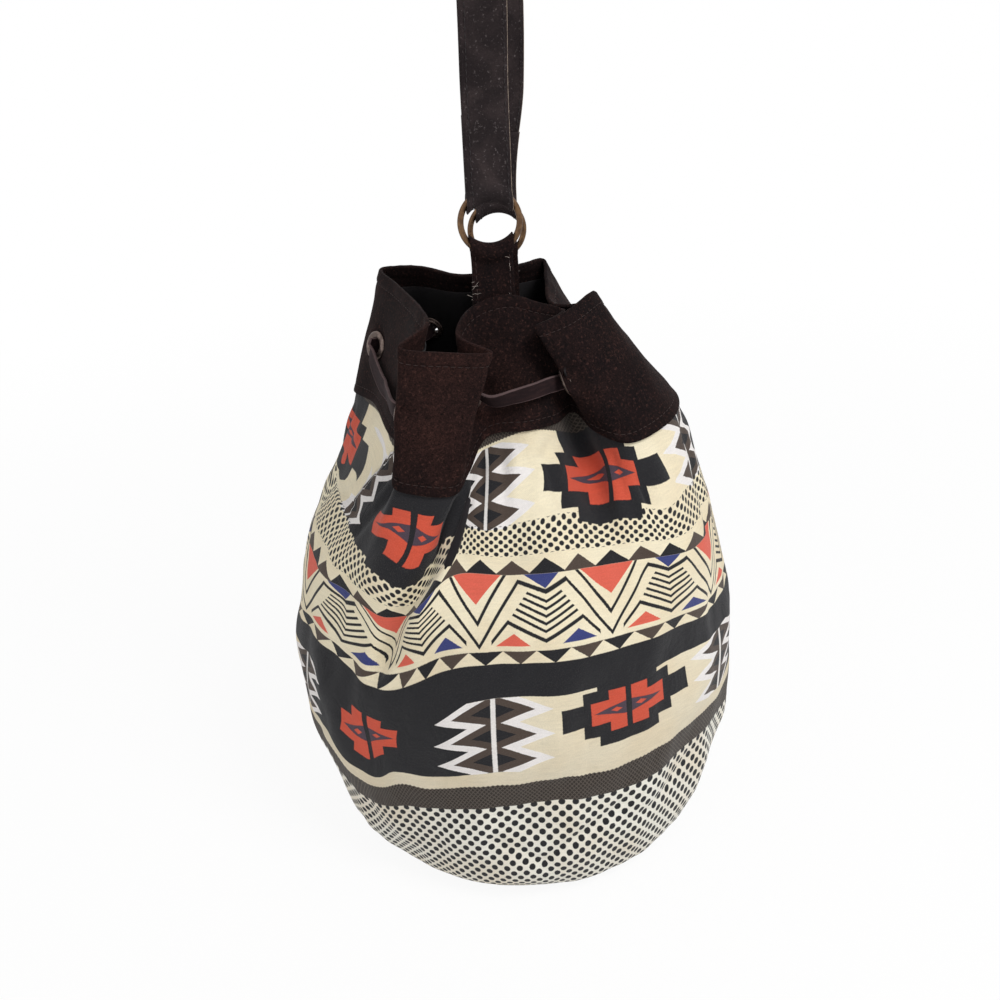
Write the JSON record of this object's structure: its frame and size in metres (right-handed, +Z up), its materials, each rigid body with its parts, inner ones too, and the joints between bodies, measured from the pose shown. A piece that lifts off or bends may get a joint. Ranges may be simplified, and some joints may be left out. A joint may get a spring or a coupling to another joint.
{
  "type": "drawstring bucket bag",
  "caption": "Printed canvas bucket bag with a gathered suede band, drawstring eyelets and a suede shoulder strap on two brass rings.",
  "frame": {"origin": "centre of the flat underside of the bag's round base", "axes": "+Z up through the gathered mouth, -Y towards the front tab and ring, +X to the right of someone facing the front"},
  "size_m": [0.2853, 0.2896, 0.7016],
  "materials": {
    "band_suede": "dark brown suede with a short brushed nap",
    "strap_suede": "charcoal brown suede, light lint on the nap",
    "thong_leather": "dark brown flat leather thong with paler cut edges",
    "printed_canvas": "plain woven cotton canvas, cream with a printed geometric pattern",
    "lining_cloth": "dark plain cotton lining",
    "base_board": "pressed fibreboard stiffener",
    "ring_brass": "antique brass, brown and lightly worn bright",
    "eyelet_metal": "dark antique metal with worn edges"
  },
  "bodies": {
    "bag": {"suede_band": "band_suede", "canvas_body": "printed_canvas", "lining": "lining_cloth", "base_panel": "printed_canvas", "base_board": "base_board", "eyelet_1": "eyelet_metal", "eyelet_washer_1": "eyelet_metal", "eyelet_2": "eyelet_metal", "eyelet_washer_2": "eyelet_metal", "eyelet_3": "eyelet_metal", "eyelet_washer_3": "eyelet_metal", "eyelet_4": "eyelet_metal", "eyelet_washer_4": "eyelet_metal", "eyelet_5": "eyelet_metal", "eyelet_washer_5": "eyelet_metal", "eyelet_6": "eyelet_metal", "eyelet_washer_6": "eyelet_metal", "eyelet_7": "eyelet_metal", "eyelet_washer_7": "eyelet_metal", "eyelet_8": "eyelet_metal", "eyelet_washer_8": "eyelet_metal", "drawstring": "thong_leather", "front_tab": "band_suede", "back_tab": "band_suede"},
    "front_link": {"front_ring": "ring_brass"},
    "strap": {"shoulder_strap": "strap_suede"},
    "back_link": {"back_ring": "ring_brass"}
  },
  "joints": [
    {"name": "front_ring_tilt", "type": "hinge", "parent": "bag", "child": "front_link", "pos_m": [-0.007, -0.03725, 0.3704], "axis": [1, 0, 0], "range_deg": [-25, 25]},
    {"name": "strap_swing", "type": "hinge", "parent": "front_link", "child": "strap", "pos_m": [-0.007, -0.03725, 0.39732], "axis": [1, 0, 0], "range_deg": [-25, 25]},
    {"name": "back_ring_tilt", "type": "hinge", "parent": "bag", "child": "back_link", "pos_m": [0.005, 0.02625, 0.3544], "axis": [1, 0, 0], "range_deg": [-25, 25]}
  ],
  "couplings": [
    {"joint": "strap_swing", "follows": "front_ring_tilt", "ratio": -1},
    {"joint": "back_ring_tilt", "follows": "front_ring_tilt", "ratio": 1}
  ]
}
